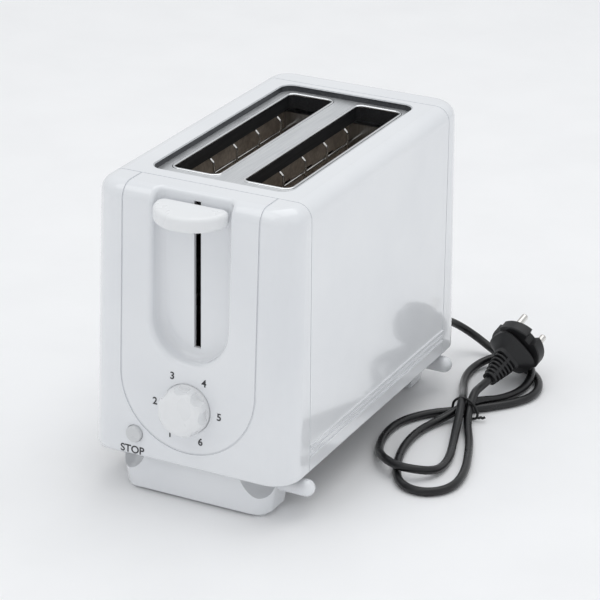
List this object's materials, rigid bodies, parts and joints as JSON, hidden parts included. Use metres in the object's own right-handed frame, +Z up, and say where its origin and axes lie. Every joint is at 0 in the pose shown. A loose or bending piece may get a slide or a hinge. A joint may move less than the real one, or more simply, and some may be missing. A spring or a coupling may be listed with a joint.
{
  "type": "pop up toaster",
  "caption": "Two-slice pop-up toaster in glossy plastic with a steel top, a lever on a sprung bread carriage, a browning dial, a stop button, a crumb tray and a tied mains lead.",
  "frame": {"origin": "bottom centre of the toaster's own bounding box, under the rubber pads, without the mains lead", "axes": "+Z up, the lever end faces -Y, +X is the right-hand side seen from the lever end"},
  "size_m": [0.2171, 0.3188, 0.203],
  "materials": {
    "white_shell": "glossy white",
    "button_plastic": "grey",
    "steel": "satin",
    "wire": "bright",
    "mica": "matt mica board",
    "ribbon": "oxidised",
    "grey_plastic": "matt",
    "board": "laminate",
    "copper": "enamelled winding",
    "pad_rubber": "matt",
    "cord_black": "satin black flexible plastic",
    "plated_pins": "nickel plated"
  },
  "bodies": {
    "case": {"front_cover": "white_shell", "rear_cover": "white_shell", "body_shell": "white_shell", "front_foot": "white_shell", "rear_foot": "white_shell", "top_plate": "steel", "front_end_plate": "steel", "rear_end_plate": "steel", "heat_shield_left": "steel", "heat_shield_right": "steel", "guide_rod": "steel", "magnet_core": "steel", "base_screws": "steel", "guard_wires_left_outer": "wire", "guard_wires_left_inner": "wire", "guard_wires_right_outer": "wire", "guard_wires_right_inner": "wire", "heater_board_left": "mica", "heater_board_centre": "mica", "heater_board_right": "mica", "heater_ribbon_left": "ribbon", "heater_ribbon_centre": "ribbon", "heater_ribbon_right": "ribbon", "base_plate": "grey_plastic", "potentiometer": "grey_plastic", "stop_switch": "grey_plastic", "terminal_block": "grey_plastic", "control_board": "board", "magnet_coil": "copper", "foot_pads": "pad_rubber", "power_cord": "cord_black", "plug_cord": "cord_black", "cord_hank": "cord_black", "cord_tie": "cord_black", "cord_gland": "cord_black", "plug_body": "cord_black", "plug_pins": "plated_pins"},
    "carriage": {"carriage_bracket": "steel", "lever_knob": "white_shell", "bread_rack_left": "steel", "bread_rack_right": "steel", "armature_plate": "steel", "carriage_spring": "steel"},
    "dial": {"dial_knob": "white_shell", "dial_shaft": "wire"},
    "button": {"stop_button": "button_plastic"},
    "tray": {"crumb_tray": "steel", "crumb_tray_handle": "white_shell"}
  },
  "joints": [
    {"name": "carriage_slide", "type": "slide", "parent": "case", "child": "carriage", "axis": [0, 0, -1], "range_m": [0, 0.07], "stiffness_N_per_m": 80, "springref_m": -0.08, "deforming": ["carriage_spring"]},
    {"name": "dial_turn", "type": "hinge", "parent": "case", "child": "dial", "pos_m": [0, -0.1228, 0.0674], "axis": [0, 1, 0], "range_deg": [0, 300]},
    {"name": "stop_press", "type": "slide", "parent": "case", "child": "button", "axis": [0, 1, 0], "range_m": [0, 0.002], "stiffness_N_per_m": 600, "springref_m": -0.001},
    {"name": "crumb_tray_slide", "type": "slide", "parent": "case", "child": "tray", "axis": [0, 1, 0], "range_m": [0, 0.19]}
  ]
}
